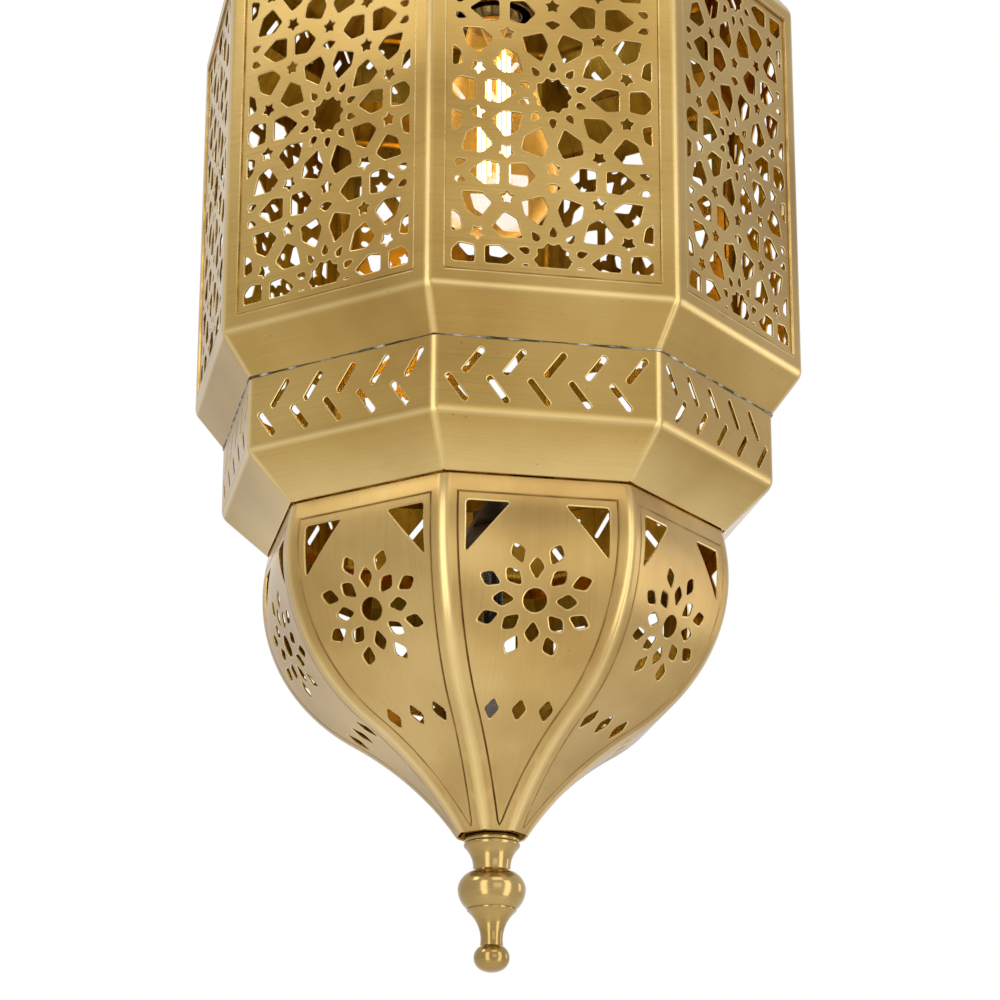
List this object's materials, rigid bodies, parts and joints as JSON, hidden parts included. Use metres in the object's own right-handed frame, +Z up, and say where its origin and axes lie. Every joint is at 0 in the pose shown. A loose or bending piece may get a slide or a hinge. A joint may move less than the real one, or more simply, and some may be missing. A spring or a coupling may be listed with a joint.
{
  "type": "hanging lantern",
  "caption": "Eight-sided pierced brass hanging lantern with fretwork panels, chevron bands, an ogee dome closed by a turned finial, and a screw-cap bulb inside.",
  "frame": {"origin": "top inside of the hanging ring, where it rests on its hook", "axes": "+Z up along the lantern's axis, -Y out of the front face, +X to the right of it"},
  "size_m": [0.2772, 0.2772, 0.7671],
  "materials": {
    "sheet_brass": "antique, satin",
    "turned_brass": "polished, aged",
    "lamp_brass": "satin",
    "black_steel": "blackened",
    "zinc_steel": "zinc plated",
    "black_moulding": "moulded",
    "bulb_glass": "clear",
    "filament": "lit"
  },
  "bodies": {
    "ring": {"hanging_ring": "turned_brass"},
    "lantern": {"pierced_panel_1": "sheet_brass", "pierced_panel_2": "sheet_brass", "pierced_panel_3": "sheet_brass", "pierced_panel_4": "sheet_brass", "pierced_panel_5": "sheet_brass", "pierced_panel_6": "sheet_brass", "pierced_panel_7": "sheet_brass", "pierced_panel_8": "sheet_brass", "crown_gore_1": "sheet_brass", "crown_gore_2": "sheet_brass", "crown_gore_3": "sheet_brass", "crown_gore_4": "sheet_brass", "crown_gore_5": "sheet_brass", "crown_gore_6": "sheet_brass", "crown_gore_7": "sheet_brass", "crown_gore_8": "sheet_brass", "lower_skirt": "sheet_brass", "lower_band": "sheet_brass", "lower_cove": "sheet_brass", "upper_skirt": "sheet_brass", "upper_band": "sheet_brass", "crown_cove": "sheet_brass", "corner_posts": "sheet_brass", "crown_plate": "sheet_brass", "crown_collar": "turned_brass", "cord_bush": "black_moulding", "hanging_loop": "turned_brass", "stem_pipe": "lamp_brass", "stem_nuts": "zinc_steel", "upper_bridge": "black_steel", "lower_bridge": "black_steel", "rod_nuts": "zinc_steel", "lamp_rod": "black_steel", "coupling_nut": "zinc_steel", "lampholder_cap": "lamp_brass", "lampholder_shell": "lamp_brass", "lampholder_insulator": "black_moulding", "lampholder_screw_shell": "lamp_brass", "lampholder_contact": "lamp_brass"},
    "dome": {"dome_gore_1": "sheet_brass", "dome_gore_2": "sheet_brass", "dome_gore_3": "sheet_brass", "dome_gore_4": "sheet_brass", "dome_gore_5": "sheet_brass", "dome_gore_6": "sheet_brass", "dome_gore_7": "sheet_brass", "dome_gore_8": "sheet_brass", "dome_rim": "sheet_brass", "dome_plate": "sheet_brass"},
    "finial": {"finial": "turned_brass", "finial_stud": "black_steel"},
    "bulb": {"bulb_cap": "lamp_brass", "bulb_glass": "bulb_glass", "bulb_stem": "bulb_glass", "bulb_filaments": "filament"}
  },
  "joints": [
    {"name": "lantern_swing", "type": "hinge", "parent": "ring", "child": "lantern", "pos_m": [0, 0, -0.049], "axis": [1, 0, 0], "range_deg": [-60, 60]},
    {"name": "dome_release", "type": "slide", "parent": "lantern", "child": "dome", "axis": [0, 0, -1], "range_m": [0, 0.25]},
    {"name": "finial_turn", "type": "hinge", "parent": "dome", "child": "finial", "pos_m": [0, 0, -0.6985], "axis": [0, 0, 1], "continuous": true},
    {"name": "bulb_turn", "type": "hinge", "parent": "lantern", "child": "bulb", "pos_m": [0, 0, -0.2626], "axis": [0, 0, 1], "continuous": true}
  ]
}
